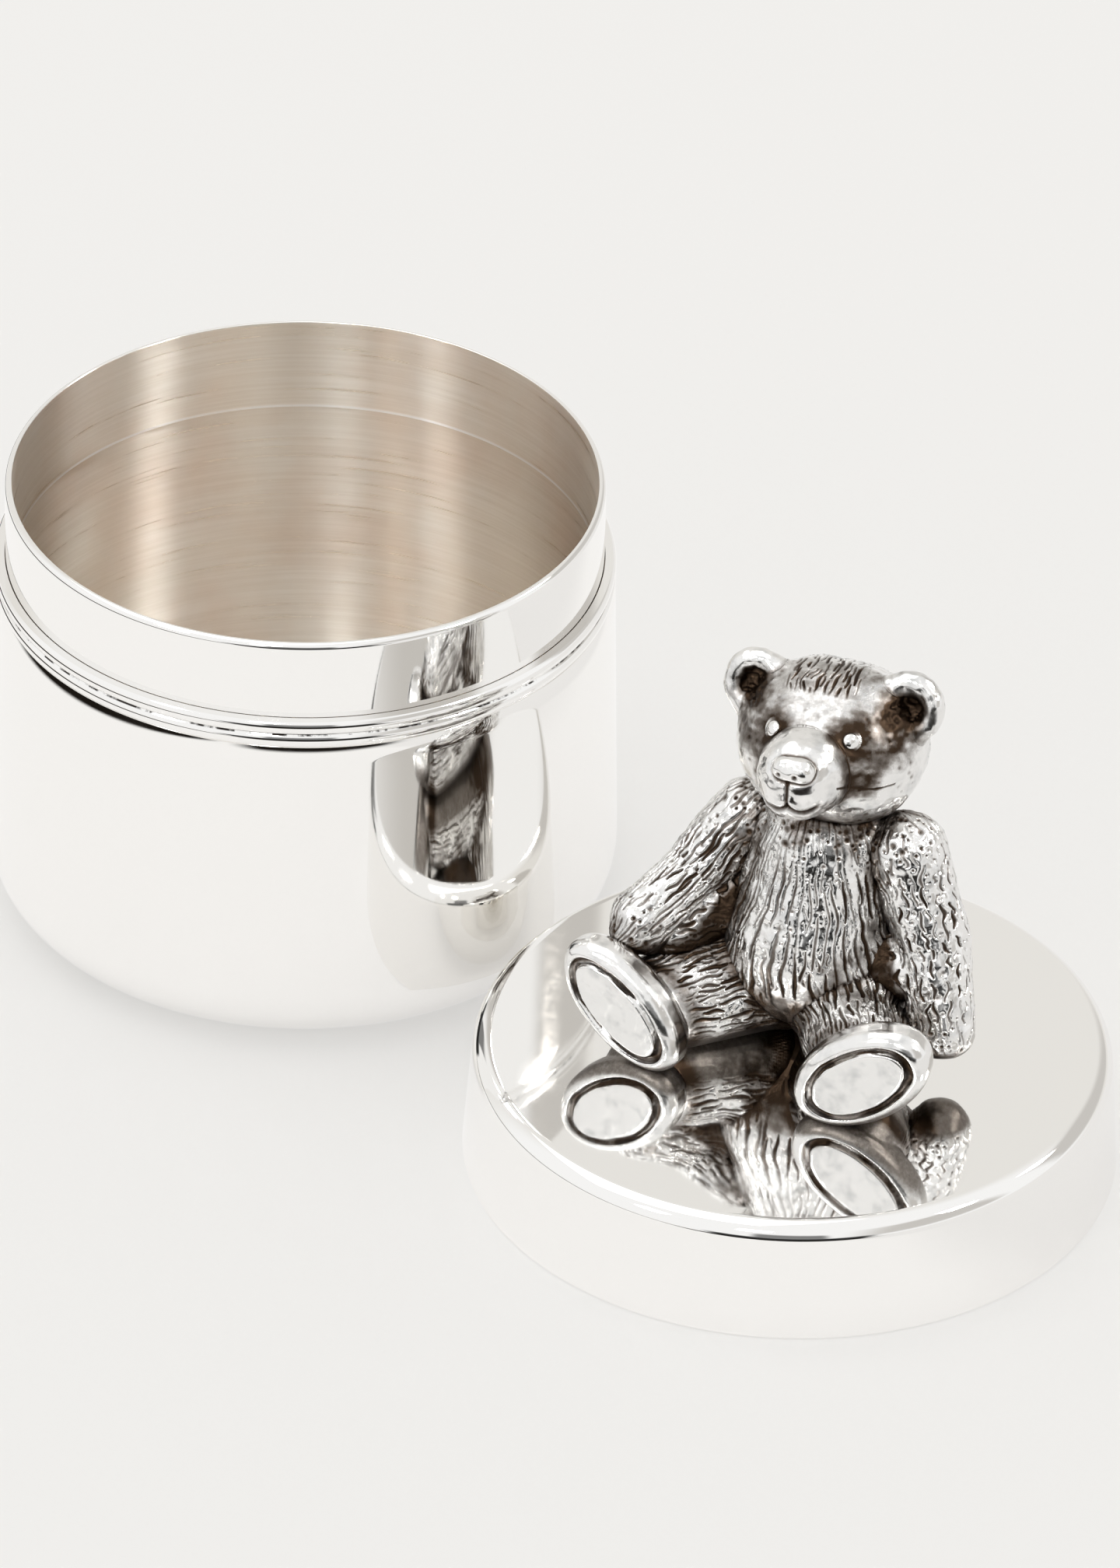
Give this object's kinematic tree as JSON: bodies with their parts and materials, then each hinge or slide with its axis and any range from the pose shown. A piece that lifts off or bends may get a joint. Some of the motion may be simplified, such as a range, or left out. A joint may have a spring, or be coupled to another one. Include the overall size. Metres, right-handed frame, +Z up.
{
  "type": "tooth box",
  "caption": "Small round silver-plated box with a raised neck and reeded band, beside its slip-on lid, which carries a seated cast teddy bear.",
  "frame": {"origin": "centre of the box's base, on the surface that the box and its lid stand on", "axes": "+Z up along the box's axis, -Y towards the viewer of the picture, +X to the right"},
  "size_m": [0.0803, 0.0775, 0.0378],
  "materials": {
    "polished_silver": "silver plate, mirror-polished outside and brushed inside",
    "cast_silver": "cast and silver-plated, blackened in its recesses and polished on its high places",
    "plain_steel": "plain"
  },
  "bodies": {
    "box": {"box_body": "polished_silver", "neck_collar": "polished_silver", "bead_ring": "polished_silver"},
    "lid": {"lid_shell": "polished_silver", "fixing_screw": "plain_steel", "screw_washer": "plain_steel", "bear_head": "cast_silver", "bear_torso": "cast_silver", "bear_right_arm": "cast_silver", "bear_left_arm": "cast_silver", "bear_right_leg": "cast_silver", "bear_left_leg": "cast_silver"}
  },
  "joints": [
    {"name": "lid_lift", "type": "slide", "parent": "box", "child": "lid", "axis": [0, 0, 1], "range_m": [0, 0.04]}
  ]
}
